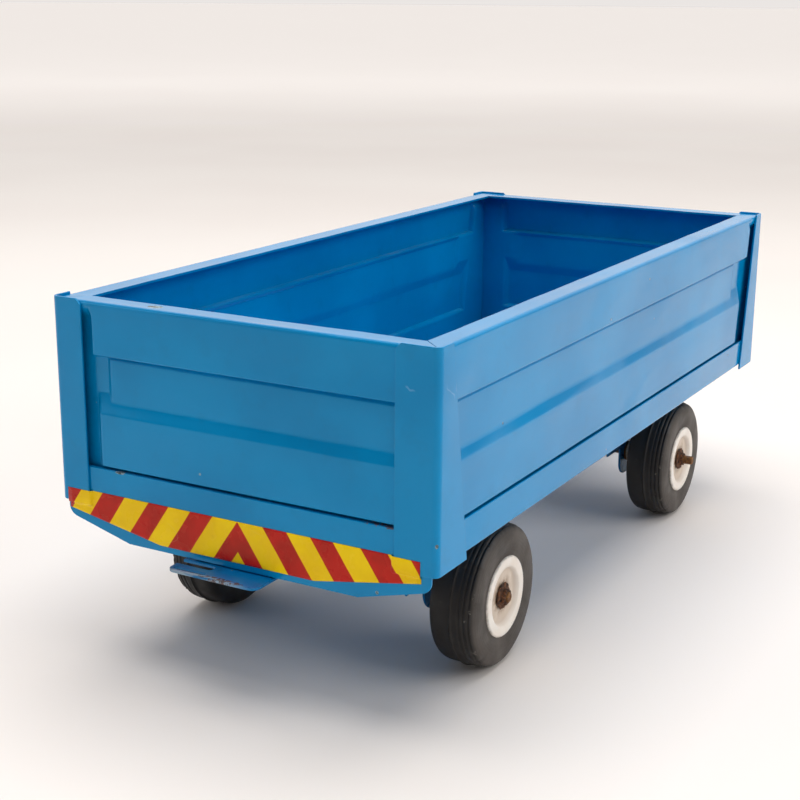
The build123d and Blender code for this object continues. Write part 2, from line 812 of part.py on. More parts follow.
side_extras = (0.0, side_middle_extra, side_lower_extra)
end_extras = (0.0, end_middle_extra, end_lower_extra)
side_zone_ends = [side_ends(side_margin_head_gap + extra) for extra in side_extras]
tail_zone_ends = [end_ends(end_margin_left + extra, end_margin_right) for extra in end_extras]
head_zone_ends = [
    end_ends(end_margin_left + extra, end_margin_left + extra) for extra in end_extras
]
finish(wall(right_plane, side_base_half, side_outer_half, *side_zone_ends), "side_wall_right")
left_zone_ends = [mirrored(ends) for ends in side_zone_ends]
finish(wall(left_plane, side_base_half, side_outer_half, *left_zone_ends), "side_wall_left")
finish(wall(tail_plane, side_base_y, end_outer_half, *tail_zone_ends), "tail_wall")
finish(wall(head_plane, side_base_y, end_outer_half, *head_zone_ends), "head_wall")

for end_name, end in (("rear", -1), ("front", 1)):
    for side_name, side in SIDES.items():
        diagonal_pair = end * side > 0
        flange = end_flange_right if diagonal_pair else end_flange_left
        finish(corner_post(end, side, flange), f"corner_post_{end_name}_{side_name}")

finish(floor_tray(), "floor_tray")
finish(tail_apron(), "tail_apron")
finish(chevron_label(), "chevron_label")
finish(chassis_channel(), "chassis_channel")
finish(tow_hook(), "tow_hook")
finish(tail_carriage(), "rear_axle_carriage")
finish(rivets(), "channel_rivets")
finish(turntable_washer(), "turntable_washer")
finish(kingpin(), "kingpin")
finish(front_bogie(), "front_bogie")
finish(drawbar_clevis(), "drawbar_clevis")
finish(drawbar_pin(), "drawbar_pin")
finish(drawbar(), "drawbar")
finish(axle(tail_axle_x, tail_axle_length, 0.0), "rear_axle")
finish(axle(head_axle_x, head_axle_length, head_axle_shift), "front_axle")

for axle_name, axle_x in AXLES.items():
    finish(axle_washers(axle_x), f"{axle_name}_axle_washers")
    for side_name, side in SIDES.items():
        finish(hub(axle_x, side), f"hub_{axle_name}_{side_name}")
        finish(tyre(axle_x, side), f"tyre_{axle_name}_{side_name}")
        finish(axle_cap(axle_x, side), f"axle_cap_{axle_name}_{side_name}")
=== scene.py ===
import json
import math

import bmesh
import bpy
import numpy as np
from mathutils import Matrix, Vector, noise

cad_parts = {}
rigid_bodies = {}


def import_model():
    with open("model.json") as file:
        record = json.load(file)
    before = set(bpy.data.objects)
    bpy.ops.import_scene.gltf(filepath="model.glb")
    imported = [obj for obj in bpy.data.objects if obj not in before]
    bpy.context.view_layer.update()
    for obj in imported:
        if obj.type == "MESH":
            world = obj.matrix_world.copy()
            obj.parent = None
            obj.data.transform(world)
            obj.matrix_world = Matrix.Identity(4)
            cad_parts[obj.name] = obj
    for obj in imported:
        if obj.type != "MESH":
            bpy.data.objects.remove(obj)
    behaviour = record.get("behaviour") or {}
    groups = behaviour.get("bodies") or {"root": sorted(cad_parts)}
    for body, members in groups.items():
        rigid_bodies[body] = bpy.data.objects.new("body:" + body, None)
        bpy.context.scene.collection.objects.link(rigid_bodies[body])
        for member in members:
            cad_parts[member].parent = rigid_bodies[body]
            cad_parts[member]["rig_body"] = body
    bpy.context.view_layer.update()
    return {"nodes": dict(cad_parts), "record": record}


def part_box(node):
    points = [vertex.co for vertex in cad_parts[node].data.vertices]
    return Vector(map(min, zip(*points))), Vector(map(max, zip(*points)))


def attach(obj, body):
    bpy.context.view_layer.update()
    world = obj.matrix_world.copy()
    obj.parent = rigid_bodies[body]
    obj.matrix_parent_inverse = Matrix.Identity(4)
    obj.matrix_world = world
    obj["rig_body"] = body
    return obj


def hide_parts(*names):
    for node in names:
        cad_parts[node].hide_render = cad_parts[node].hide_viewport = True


# Looks of a pressed-steel toy farm trailer. Lengths are in millimetres, and only meshes, lights and
# the camera are in metres. +X points forwards, +Y to the trailer's left and +Z up, as in the CAD.

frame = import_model()

MM = 0.001
nodes = frame["nodes"]
slot_of = {part["node"]: part["material_slot"] for part in frame["record"]["subparts"]}


def corners(node):
    """Lowest and highest corner of a CAD node, in millimetres."""
    low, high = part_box(node)
    return low / MM, high / MM


# ---- Places taken from the frame ------------------------------------------------------------

post_low, post_high = corners("corner_post_rear_right")
far_high = corners("corner_post_front_left")[1]
tail_x, head_x = post_low.x, far_high.x
side_y = far_high.y
foot_z, post_top = post_low.z, post_high.z
box_length = head_x - tail_x
box_mid_x = (tail_x + head_x) / 2
wall_low, wall_high = corners("tail_wall")
wall_foot, wall_top = wall_low.z, wall_high.z
apron_low, apron_high = corners("tail_apron")
sheet = apron_high.x - apron_low.x
apron_face = apron_low.x
sill_top = apron_high.z
label_low, label_high = corners("chevron_label")
hook_low, hook_high = corners("tow_hook")

# The wheels' rounded sizes, for the places of their dust, stains, painted shade and painted light; a face
# is measured from y = 0
tyre_face, tyre_radius = 64.8, 26.5
hub_radius = 14.8


# ---- Small helpers --------------------------------------------------------------------------

# Points nearer to each other than this are one, so that rounding leaves no slivers
sliver = 0.012


def smooth(value):
    """0 below 0, 1 above 1, and a soft step between, for a number or an array."""
    t = np.clip(value, 0.0, 1.0)
    return t * t * (3 - 2 * t)


def add_piece(name, data):
    """A new object for a mesh, a lamp or a camera, in the scene."""
    piece = bpy.data.objects.new(name, data)
    bpy.context.scene.collection.objects.link(piece)
    return piece


def mesh_from(name, points, faces):
    """A smooth-shaded mesh from points in millimetres."""
    mesh = bpy.data.meshes.new(name)
    mesh.from_pydata([Vector(p) * MM for p in points], [], faces)
    mesh.validate()
    mesh.shade_smooth()
    return mesh


def stand_in(piece, node):
    """The piece takes a CAD node's place, on its body and in its material slot."""
    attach(piece, nodes[node]["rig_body"])
    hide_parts(node)
    piece.data.materials.clear()
    piece.data.materials.append(finishes[slot_of[node]])
    return piece


def rounding(piece, width, angle=40):
    """Rounds edges that turn by more than angle degrees, as paint and pressing leave them."""
    bevel = piece.modifiers.new("rounding", "BEVEL")
    bevel.width = width * MM
    bevel.segments = 2
    bevel.limit_method = "ANGLE"
    bevel.angle_limit = math.radians(angle)
    bevel.harden_normals = True
    weld = piece.modifiers.new("weld", "WELD")
    weld.merge_threshold = sliver * MM


def stations(start, stop, coarse, fine, marks, reach):
    """Places from start to stop: fine steps within reach of a mark, growing to coarse ones beyond."""
    growth = 0.4
    places = [start]
    while places[-1] < stop - fine:
        here = places[-1]
        away = min(abs(here - mark) for mark in marks) - reach
        places.append(here + (fine if away <= 0 else min(coarse, fine + growth * away)))
    places[-1] = stop
    return np.array(places)


def grid_faces(rows, columns):
    """Quads of a grid of points stored row by row."""
    return [
        (r * columns + c, r * columns + c + 1, (r + 1) * columns + c + 1, (r + 1) * columns + c)
        for r in range(rows - 1)
        for c in range(columns - 1)
    ]


# ---- Material building ----------------------------------------------------------------------

def colour(code):
    """Linear colour of an sRGB hex code."""
    parts = [int(code[i:i + 2], 16) / 255 for i in (0, 2, 4)]
    linear = [c / 12.92 if c <= 0.04045 else ((c + 0.055) / 1.055) ** 2.4 for c in parts]
    return (*linear, 1.0)


class Nodes:
    """A short way to write a node tree. Inputs are sockets to link or values to set."""

    def __init__(self, tree):
        self.tree = tree

    def add(self, kind, inputs=None, **settings):
        made = self.tree.nodes.new(kind)
        for key, value in settings.items():
            setattr(made, key, value)
        for key, value in (inputs or {}).items():
            if isinstance(value, bpy.types.NodeSocket):
                self.tree.links.new(value, made.inputs[key])
            else:
                made.inputs[key].default_value = value
        return made

    def math(self, operation, a, b=0.0, c=0.0):
        return self.add("ShaderNodeMath", {0: a, 1: b, 2: c}, operation=operation).outputs[0]

    def step(self, value, start, stop, to_low=0.0, to_high=1.0):
        """A soft step: to_low where value is at start, to_high where it is at stop."""
        inputs = {"Value": value, "From Min": start, "From Max": stop}
        inputs.update({"To Min": to_low, "To Max": to_high})
        return self.add("ShaderNodeMapRange", inputs, interpolation_type="SMOOTHSTEP").outputs[0]


class Finish(Nodes):
    """A Principled material with its textures laid out in the piece's own millimetres."""

    def __init__(self, name):
        self.material = bpy.data.materials.new(name)
        self.material.use_nodes = True
        super().__init__(self.material.node_tree)
        self.tree.nodes.clear()
        self.shader = self.add("ShaderNodeBsdfPrincipled")
        output = self.add("ShaderNodeOutputMaterial")
        self.tree.links.new(self.shader.outputs[0], output.inputs[0])
        coordinates = self.add("ShaderNodeTexCoord")
        self.place = self.add(
            "ShaderNodeMapping", {"Vector": coordinates.outputs["Object"], "Scale": (1000, 1000, 1000)}
        ).outputs[0]
        axes = self.add("ShaderNodeSeparateXYZ", {0: self.place})
        self.x, self.y, self.z = axes.outputs

    def noise(self, size, detail=2.0, rough=0.5, stretch=(1, 1, 1), warp=0.0):
        """Cloudy noise, round 0.5, with blots of about the size, longer along the stretched axes."""
        vector = self.place
        if stretch != (1, 1, 1):
            scale = tuple(1 / s for s in stretch)
            vector = self.add("ShaderNodeMapping", {"Vector": vector, "Scale": scale}).outputs[0]
        inputs = {"Vector": vector, "Scale": 1 / size, "Detail": detail}
        inputs.update({"Roughness": rough, "Distortion": warp})
        return self.add("ShaderNodeTexNoise", inputs).outputs[0]

    def cells(self, size):
        """Distance to the nearest of scattered points, in cells of the size."""
        return self.add("ShaderNodeTexVoronoi", {"Vector": self.place, "Scale": 1 / size}).outputs[0]

    def both(self, a, b):
        return self.math("MULTIPLY", a, b)

    def either(self, a, b):
        return self.math("MAXIMUM", a, b)

    def mix(self, factor, a, b):
        """Colour a where the factor is 0 and colour b where it is 1."""
        inputs = {0: factor, 6: a, 7: b}
        return self.add("ShaderNodeMix", inputs, data_type="RGBA").outputs[2]

    def bump(self, height, distance, normal=None):
        """A normal for a height of 0 to 1 that stands for 0 to distance."""
        inputs = {"Height": height, "Distance": distance * MM, "Strength": 1.0}
        if normal is not None:
            inputs["Normal"] = normal
        return self.add("ShaderNodeBump", inputs).outputs[0]

    def near(self, centre, reach, stretch=(1, 1, 1)):
        """1 near a point and 0 further than reach from it, with each axis stretched."""
        kind = "ShaderNodeVectorMath"
        scale = tuple(1 / s for s in stretch)
        offset = self.add(kind, {0: self.place, 1: centre}, operation="SUBTRACT").outputs[0]
        scaled = self.add(kind, {0: offset, 1: scale}, operation="MULTIPLY").outputs[0]
        length = self.add(kind, {0: scaled}, operation="LENGTH").outputs["Value"]
        return self.step(length, reach, reach * 0.35)

    def threads(self, size, width, stretch=(1, 1, 1)):
        """Fine curving lines, as scratches leave: 1 on a line and 0 off it."""
        value = self.noise(size, detail=1.0, stretch=stretch)
        off = self.math("ABSOLUTE", self.math("SUBTRACT", value, 0.5))
        return self.step(off, width, width * 0.3)

    def set(self, **values):
        """Sets or links the shader's sockets by name, and gives the material."""
        for key, value in values.items():
            socket = self.shader.inputs[key.replace("_", " ")]
            if isinstance(value, bpy.types.NodeSocket):
                self.tree.links.new(value, socket)
            else:
                socket.default_value = value
        return self.material


# Worn and chipped places on the box: centre, reach and stretch along each axis
flange_chip = ((tail_x + 6.0, 35, wall_top), 2.6, (1.0, 1.8, 1))
sill_rust = ((tail_x + 1, -54, sill_top), 6.0, (1, 1.3, 0.16))
sill_chip = ((tail_x + 1, 49, sill_top), 2.5, (1, 1.2, 0.4))
corner_chip = ((tail_x + 0.5, -side_y + 0.5, 70.5), 1.0, (1, 1, 1.2))
apron_speck = ((apron_face, -53.2, 51.0), 0.9, (1, 1, 1))
post_scar = ((tail_x, -64.6, 119.0), 2.4, (1, 1.2, 0.5))
side_scars = ((tail_x + 7.5, -side_y, 119.0), 6.0, (0.7, 1, 1))
hook_wear = ((hook_low.x, hook_high.y - 14, hook_high.z), 9.0, (0.22, 2.4, 0.6))
hook_bare = ((hook_low.x + 1, hook_low.y + 18, hook_high.z), 6.0, (0.3, 2.4, 0.4))


def rust_colour(f):
    """Dark and light rust in fine grains."""
    grain = f.noise(0.7, detail=3.0, rough=0.7)
    return f.mix(f.step(grain, 0.35, 0.65), colour("2E1A10"), colour("7A4522"))


def enamel(name, light, deep, dirt, gloss):
    """Blue enamel on pressed steel: slow waves, fine orange peel, specks, scratches, chips, rust."""
    f = Finish(name)
    cloud = f.noise(55, detail=3.0)
    paint = f.mix(f.step(cloud, 0.35, 0.65), colour(light), colour(deep))

    # Scratches by the tail's right corner, and paint worn thin along the hook's edge
    scratched = f.either(f.near(*side_scars), f.near(*post_scar))
    scars = f.both(f.threads(7, 0.022, (0.8, 0.8, 1.6)), scratched)
    paint = f.mix(f.both(scars, 0.4), paint, colour("86BBE0"))
    rubbed = f.step(f.noise(2.5, detail=3.0, stretch=(1, 5, 1)), 0.34, 0.5)
    worn_edge = f.both(f.near(*hook_wear), rubbed)
    paint = f.mix(f.both(worn_edge, 0.7), paint, colour("AFBEC6"))
    grime = f.both(f.step(f.noise(9, detail=4.0, rough=0.65), 0.52, 0.72), dirt)
    paint = f.mix(grime, paint, colour("22323C"))

    # Chips down to the steel: small specks all over, and larger ones in their places
    bare = f.noise(1.3, detail=3.0, rough=0.6)
    chips = f.both(f.step(f.cells(11), 0.055, 0.03), f.step(f.noise(70), 0.5, 0.56))
    for place in (flange_chip, sill_chip, corner_chip, apron_speck):
        ragged = f.both(f.near(*place), f.math("ADD", bare, 0.45))
        chips = f.either(chips, f.step(ragged, 0.5, 0.56))
    steel = f.mix(f.step(bare, 0.45, 0.55), colour("3C3A38"), colour("8FA6AE"))
    paint = f.mix(chips, paint, steel)

    # Rust in broken patches on the sill and the hook
    patchy = f.step(f.noise(1.7, detail=3.0, rough=0.65), 0.4, 0.56)
    stained = f.both(f.either(f.near(*sill_rust), f.near(*hook_bare)), patchy)
    rusty = f.step(f.both(stained, f.math("ADD", bare, 0.5)), 0.3, 0.6)
    paint = f.mix(f.both(rusty, 0.85), paint, rust_colour(f))

    sheen = f.step(f.noise(16, detail=4.0), 0.3, 0.7, gloss, gloss + 0.07)
    rough = f.math("ADD", sheen, f.both(chips, 0.3))
    rough = f.math("ADD", rough, f.math("ADD", f.both(rusty, 0.4), f.both(grime, 0.5)))
    waves = f.bump(f.noise(30, detail=0.5, stretch=(2.2, 2.2, 0.8), warp=0.6), 1.5)
    peel = f.bump(f.noise(1.6, detail=1.0), 0.006, waves)
    whole = f.math("SUBTRACT", 1.0, f.either(chips, rusty))
    return f.set(
        Base_Color=paint, Roughness=rough, Normal=f.bump(whole, 0.06, peel), IOR=1.52,
        Specular_Tint=(0.35, 0.8, 1.0, 1.0),
    )


# The label's stripes: where they change along its top edge, from the middle outwards, to red at the
# first place, to yellow at the second and so on; how far they lean; and half their edges' softness
stripe_edges = (-7.2, 0.0, 10.0, 19.2, 28.4, 37.0, 47.2, 57.0, 65.8)
stripe_lean = 0.68
stripe_blur = 0.12


def label_film():
    """Chevron stripes in red and yellow, the same to both sides of the middle, a little scuffed."""
    f = Finish("label_film")
    warp = f.math("MULTIPLY_ADD", f.noise(14), 0.5, -0.25)
    across = f.math("ABSOLUTE", f.math("ADD", f.y, warp))
    drop = f.math("MULTIPLY", f.math("SUBTRACT", label_high.z, f.z), stripe_lean)
    along = f.math("SUBTRACT", across, drop)
    red = 0.0
    for place, edge in enumerate(stripe_edges):
        passed = f.step(along, edge - stripe_blur, edge + stripe_blur)
        change = 1.0 if place % 2 == 0 else -1.0
        red = f.math("ADD", red, f.both(passed, change))
    yellow_ink = f.mix(f.step(f.noise(12, detail=3.0), 0.35, 0.65), colour("FFDA00"), colour("F6CC00"))
    red_ink = f.mix(f.step(f.noise(9, detail=3.0), 0.35, 0.65), colour("C40D18"), colour("B00A16"))
    ink = f.mix(red, yellow_ink, red_ink)
    scuffs = f.both(f.threads(16, 0.002, (1, 2.5, 1)), f.step(f.noise(18), 0.56, 0.62))
    ink = f.mix(f.both(scuffs, 0.2), ink, colour("F3EBC4"))
    grime = f.step(f.noise(3.0, detail=4.0, rough=0.7), 0.62, 0.8, 0.0, 0.18)
    ink = f.mix(grime, ink, colour("4A3A1E"))
    creases = f.bump(f.noise(5, detail=2.0, stretch=(1, 1, 2.5)), 0.05)
    return f.set(
        Base_Color=ink, Roughness=f.step(f.noise(6, detail=3.0), 0.3, 0.7, 0.2, 0.32), Normal=creases,
        IOR=1.4, Specular_Tint=(1.0, 0.75, 0.4, 1.0),
    )


def wheel_radius(f):
    """Distance from the axle: wheel pieces have their origin at the wheel's centre."""
    return f.math("SQRT", f.math("ADD", f.both(f.x, f.x), f.both(f.z, f.z)))


# The turned rings on a tyre's sidewall, in radians of ripple per millimetre of radius
ring_turn = 5.2


def tyre_rubber():
    """Black rubber: a grey bloom in soft rings on the outer sidewall, partly painted light that leaves the
    tread and inner sidewall dark as in shade, dust in the grooves and scuffs.
    """
    f = Finish("tyre_rubber")
    radius = wheel_radius(f)
    out = f.math("ABSOLUTE", f.y)
    # Bloom and painted light: only the outer sidewall is greyed, so it reads lit while the tread and inner
    # sidewall stay dark as if in shade
    sidewall = f.both(
        f.step(out, tyre_face - 3.3, tyre_face - 0.8), f.step(radius, tyre_radius - 0.9, tyre_radius - 2.5)
    )
    bloom_and_painted_light = f.both(sidewall, f.step(f.noise(12, detail=4.0, rough=0.6), 0.2, 0.75, 0.35, 1.0))
    rubber = f.mix(bloom_and_painted_light, colour("1F1B18"), colour("504A45"))
    dust = f.step(f.noise(5, detail=5.0, rough=0.7), 0.58, 0.85, 0.0, 0.22)
    rubber = f.mix(dust, rubber, colour("7C736A"))
    shoulder = f.both(
        f.step(radius, tyre_radius - 2.3, tyre_radius - 1.3), f.step(out, tyre_face - 4.3, tyre_face - 3.3)
    )
    nicks = f.both(shoulder, f.step(f.noise(2.6, detail=3.0, rough=0.7), 0.62, 0.7))
    rubber = f.mix(f.both(nicks, 0.4), rubber, colour("8F867C"))
    rings = f.math("SINE", f.both(radius, ring_turn))
    grain = f.bump(f.noise(0.6, detail=3.0), 0.03)
    turned = f.bump(f.both(rings, sidewall), 0.012, grain)
    return f.set(
        Base_Color=rubber, Roughness=f.step(f.noise(7, detail=3.0), 0.3, 0.7, 0.48, 0.66),
        Normal=turned, Specular_IOR_Level=0.45,
    )


def hub_plastic():
    """White moulded plastic, a little yellowed, with painted shade in its recessed dish and rust stains
    washed out from the cap.
    """
    f = Finish("hub_plastic")
    radius = wheel_radius(f)
    plastic = f.mix(f.step(f.noise(13, detail=3.0), 0.3, 0.7), colour("F8F3EC"), colour("EDE3D8"))
    # Painted shade: the dish inside the rim is coloured darker, as if the recess lies in shade
    painted_dish_shade = f.step(radius, hub_radius - 3.6, hub_radius - 5.2)
    plastic = f.mix(f.both(painted_dish_shade, 0.75), plastic, colour("CDBBA8"))
    streaks = f.step(f.noise(2.2, detail=4.0, rough=0.65), 0.42, 0.7)
    stain = f.both(f.step(radius, 8.2, 5.0), f.math("MULTIPLY_ADD", streaks, 0.7, 0.15))
    plastic = f.mix(stain, plastic, colour("8E6A44"))
    at_rim = f.step(radius, hub_radius - 0.9, hub_radius)
    dirt = f.both(at_rim, f.step(f.noise(3, detail=3.0), 0.35, 0.7))
    plastic = f.mix(f.both(dirt, 0.5), plastic, colour("6B6258"))
    nicks = f.step(f.cells(5), 0.07, 0.04)
    plastic = f.mix(f.both(nicks, 0.4), plastic, colour("8A7D6C"))
    return f.set(
        Base_Color=plastic, Roughness=f.step(f.noise(4, detail=3.0), 0.3, 0.7, 0.34, 0.48),
        Normal=f.bump(f.noise(2.5, detail=2.0), 0.04), Subsurface_Weight=0.12,
        Subsurface_Radius=(1.0, 0.8, 0.6), Subsurface_Scale=0.002,
    )


def rusty_steel(name, pale, dark, bright_share):
    """Rusted steel: brown scale over dark pits, with a little bare metal left."""
    f = Finish(name)
    scale = f.noise(1.6, detail=5.0, rough=0.7)
    rust = f.mix(f.step(scale, 0.35, 0.68), colour(dark), colour(pale))
    fresh = f.step(f.noise(0.8, detail=3.0), 0.56, 0.7)
    rust = f.mix(f.both(fresh, 0.5), rust, colour("9A5426"))
    bare = f.both(f.step(f.noise(3.5, detail=3.0), 0.6, 0.68), bright_share)
    rust = f.mix(bare, rust, colour("9B958C"))
    return f.set(
        Base_Color=rust, Metallic=f.both(bare, 0.9), Roughness=f.step(bare, 0.0, 1.0, 0.78, 0.4),
        Normal=f.bump(scale, 0.35),
    )


def plated_steel():
    """Dull zinc plate with white and brown bloom."""
    f = Finish("plated_steel")
    cloud = f.step(f.noise(4, detail=4.0, rough=0.65), 0.35, 0.7)
    plate = f.mix(cloud, colour("A7A6A2"), colour("7F7D78"))
    rust = f.step(f.noise(2.2, detail=4.0, rough=0.7), 0.58, 0.7)
    plate = f.mix(f.both(rust, 0.7), plate, colour("6A4327"))
    return f.set(
        Base_Color=plate, Metallic=f.step(rust, 0.0, 1.0, 0.9, 0.1),
        Roughness=f.step(cloud, 0.0, 1.0, 0.35, 0.55), Normal=f.bump(f.noise(1.2, detail=3.0), 0.05),
    )


finishes = {
    "body_paint": enamel("body_paint", "008AC7", "007FBB", 0.06, 0.1),
    "chassis_paint": enamel("chassis_paint", "0473B4", "03609A", 0.35, 0.24),
    "label_film": label_film(),
    "tyre_rubber": tyre_rubber(),
    "hub_plastic": hub_plastic(),
    "rusty_caps": rusty_steel("rusty_caps", "6B4325", "26150D", 0.15),
    "axle_steel": rusty_steel("axle_steel", "8A5C2A", "4A3018", 0.3),
    "plated_steel": plated_steel(),
}

# ---- Pressed walls --------------------------------------------------------------------------

# How far each of a wall's three zones stands out from the sheet, and where the zones begin and end
top_press, middle_press, low_press = 2.6, 1.0, 2.3
top_zone_height = 18.8
slope_top_below_top = 34.8
slope_height = 4.1
low_zone_above_sill = 0.5
step_groove = 0.2
press_end_draw = 1.6
press_softness = 0.55
flange_width = 8.6
flange_bend = 1.3
mitre_gap = 0.3
post_bend = 2.4
side_flange_foot, side_flange_top = 20.0, 8.75
base_inset = sheet + top_press

step_z = wall_top - top_zone_height
slope_top = wall_top - slope_top_below_top
slope_bottom = slope_top - slope_height
slope_run = slope_height * low_press / (low_press - middle_press)
low_zone_foot = sill_top + low_zone_above_sill
row_marks = (low_zone_foot, slope_bottom, slope_bottom + slope_run, step_z - step_groove, step_z)

# How much sooner than the top zone the other two stop, and the top zone's distance from the corner:
# on a side wall at the tail, and from the front post's edge; on an end wall, seen from outside, at
# its left and at its right
middle_extra = {"side": 15.0, "end": 6.2}
low_extra = {"side": 3.5, "end": 1.7}
side_tail_margin, side_head_gap = 6.0, 4.0
end_margins = {"tail": (14.8, 10.0), "head": (14.8, 14.8)}


def post_edge(height):
    """How far a corner post's side flange reaches along the side at a height."""
    share = (height - foot_z) / (post_top - foot_z)
    return side_flange_foot + share * (side_flange_top - side_flange_foot)


def press_depth(u, z, zones):
    """How far a wall is pressed outwards at a place (u along it, z up), with crisp edges."""
    depth = np.zeros_like(u)
    for z_low, z_high, amount, low_draw, high_draw, ends in zones:
        low_end, high_end = ends(z)
        draws = [(z - z_low) / low_draw, (z_high - z) / high_draw]
        draws += [(u - low_end) / press_end_draw, (high_end - u) / press_end_draw]
        share = np.clip(np.minimum.reduce(draws), 0.0, 1.0)
        depth = np.maximum(depth, amount * share)
    return depth


def soft_press_depth(u, z, zones):
    """The same with its edges rounded, by averaging over a small disc."""
    weights = 2.0
    total = weights * press_depth(u, z, zones)
    directions = 8
    for reach, weight in ((0.5, 1.0), (1.0, 0.6)):
        for turn in range(directions):
            angle = math.tau * turn / directions
            du = press_softness * reach * math.cos(angle)
            dz = press_softness * reach * math.sin(angle)
            total += weight * press_depth(u + du, z + dz, zones)
            weights += weight
    return total / weights


def wall_rows():
    """Rows up a wall: height, share of the top roll in it, and the roll's own depth."""
    roll_centre = top_press - flange_bend
    roll_foot = wall_top - flange_bend
    rows = []
    for z in stations(wall_foot, roll_foot, 2.4, 0.3, row_marks, 1.6):
        rows.append((z, float(smooth((z - roll_foot + 5.0) / 4.0)), top_press))
    bend_steps = 6
    for turn in range(1, bend_steps + 1):
        angle = math.radians(90 / bend_steps * turn)
        z = roll_foot + flange_bend * math.sin(angle)
        rows.append((z, 1.0, roll_centre + flange_bend * math.cos(angle)))
    flat = flange_width - flange_bend
    rows += [(wall_top, 1.0, roll_centre - flat * share) for share in (0.2, 0.5, 0.8, 1.0)]
    return rows


def pressed_wall(name, origin, right, outward, base_half, outer_half, zones, column_marks, slant):
    """One wall as a thin sheet: pressed zones, soft edges, a rolled top and faint unevenness.

    right, seen from outside, and outward are its directions. base_half and outer_half are half the
    lengths of its foot and of its top corner. slant moves columns to follow a front post's edge.
    """
    columns = stations(-base_half, base_half, 3.0, 0.45, column_marks, 1.8)
    tip = outer_half - mitre_gap / 2
    trim = post_bend - sheet + mitre_gap / 2
    points = []
    rows = wall_rows()
    for z, roll, roll_depth in rows:
        end = tip - max(top_press - roll_depth, trim)
        u = columns * (1 + roll * (end / base_half - 1)) + (1 - roll) * slant(columns, z)
        depth = (1 - roll) * soft_press_depth(u, np.full_like(u, z), zones) + roll * roll_depth
        inward = top_press - roll_depth
        for place, out in zip(u, depth):
            spot = Vector((place / 34, z / 15, len(name)))
            uneven = 0.10 * noise.noise(spot) + 0.05 * noise.noise(spot * 2.7)
            lift = 0.0
            if inward > flange_bend:    # the flat of the flange sags a little and its edge wanders
                lift = 0.12 * noise.noise(Vector((place / 18, 3.1, len(name)))) - 0.12
                uneven = 0.14 * noise.noise(Vector((place / 9, 7.7, len(name))))
            fade = float(smooth((base_half - abs(place)) / 6))
            out += min(uneven * fade, top_press - out)
            points.append(origin + right * place + outward * out + Vector((0, 0, z + lift * fade)))
    mesh = mesh_from(name, points, grid_faces(len(rows), len(columns)))
    piece = add_piece(name, mesh)
    solid = piece.modifiers.new("sheet", "SOLIDIFY")
    solid.thickness = sheet * MM
    solid.offset = -1.0
    solid.use_even_offset = True
    rounding(piece, 0.22, angle=60)
    return stand_in(piece, name.replace("pressed_", ""))


def zone_set(end_function, kind):
    """The three pressed zones of a wall; end_function takes how much further in a zone stops.

    A zone is its foot, top and press, how far it draws in at its foot and top, and its ends.
    """
    draw = 0.3
    above = wall_top + 5.0
    middle_ends = end_function(middle_extra[kind])
    low_ends = end_function(low_extra[kind])
    return [
        (step_z, above, top_press, draw, draw, end_function(0.0)),
        (slope_bottom, step_z - step_groove, middle_press, draw, 0.5, middle_ends),
        (low_zone_foot, slope_bottom + slope_run, low_press, draw, slope_run, low_ends),
    ]


def side_walls():
    """Both side walls; the pressed zones' head ends follow the post's sloping edge."""
    half = box_length / 2
    clearance = 0.15
    base_half = half - base_inset - sheet - clearance
    mid_edge = post_edge((foot_z + post_top) / 2)
    extras = (0, low_extra["side"], middle_extra["side"])
    high_marks = [half - mid_edge - side_head_gap - extra for extra in extras]
    marks = [side_tail_margin - half + press_end_draw / 2]
    marks += [mark - press_end_draw / 2 for mark in high_marks]
    for side, name in ((-1, "pressed_side_wall_right"), (1, "pressed_side_wall_left")):
        def ends(extra, flip=side):
            def at(z):
                low, high = side_tail_margin - half, half - post_edge(z) - side_head_gap - extra
                return (low, high) if flip < 0 else (-high, -low)
            return at

        def slant(u, z, flip=side):
            toward = -flip * u
            share = smooth((toward - 60) / 50) * (1 - smooth((toward - high_marks[0] - 2) / 12))
            return -flip * (mid_edge - post_edge(z)) * share

        origin = Vector((box_mid_x, side * (side_y - base_inset), 0))
        pressed_wall(
            name, origin, Vector((-side, 0, 0)), Vector((0, side, 0)), base_half, half - sheet,
            zone_set(ends, "side"), [-side * mark for mark in marks], slant,
        )


def end_walls():
    """The tail and head walls."""
    for end, key in ((-1, "tail"), (1, "head")):
        low_margin, high_margin = end_margins[key]

        def ends(extra, low=low_margin, high=high_margin, flip=key):
            right_extra = extra if flip == "head" else 0.0
            return lambda z: (low + extra - side_y, side_y - high - right_extra)

        extras = (0, low_extra["end"], middle_extra["end"])
        marks = [low_margin + extra - side_y + press_end_draw / 2 for extra in extras]
        marks += [side_y - high_margin - press_end_draw / 2]
        origin = Vector((box_mid_x + end * (box_length / 2 - base_inset), 0, 0))
        pressed_wall(
            f"pressed_{key}_wall", origin, Vector((0, end, 0)), Vector((end, 0, 0)),
            side_y - base_inset, side_y - sheet, zone_set(ends, "end"), marks, lambda u, z: 0.0,
        )


side_walls()
end_walls()

# ---- Sheet pieces with softened edges -------------------------------------------------------

def softened(node, width):
    """A CAD piece again, with its cut edges rounded."""
    mesh = nodes[node].data.copy()
    shape = bmesh.new()
    shape.from_mesh(mesh)
    bmesh.ops.remove_doubles(shape, verts=shape.verts, dist=0.002 * MM)
    flat = math.radians(0.5)
    bmesh.ops.dissolve_limit(shape, angle_limit=flat, verts=shape.verts, edges=shape.edges)
    shape.to_mesh(mesh)
    shape.free()
    if "custom_normal" in mesh.attributes:
        mesh.attributes.remove(mesh.attributes["custom_normal"])
    mesh.shade_smooth()
    piece = add_piece("soft_" + node, mesh)
    rounding(piece, width)
    return stand_in(piece, node)


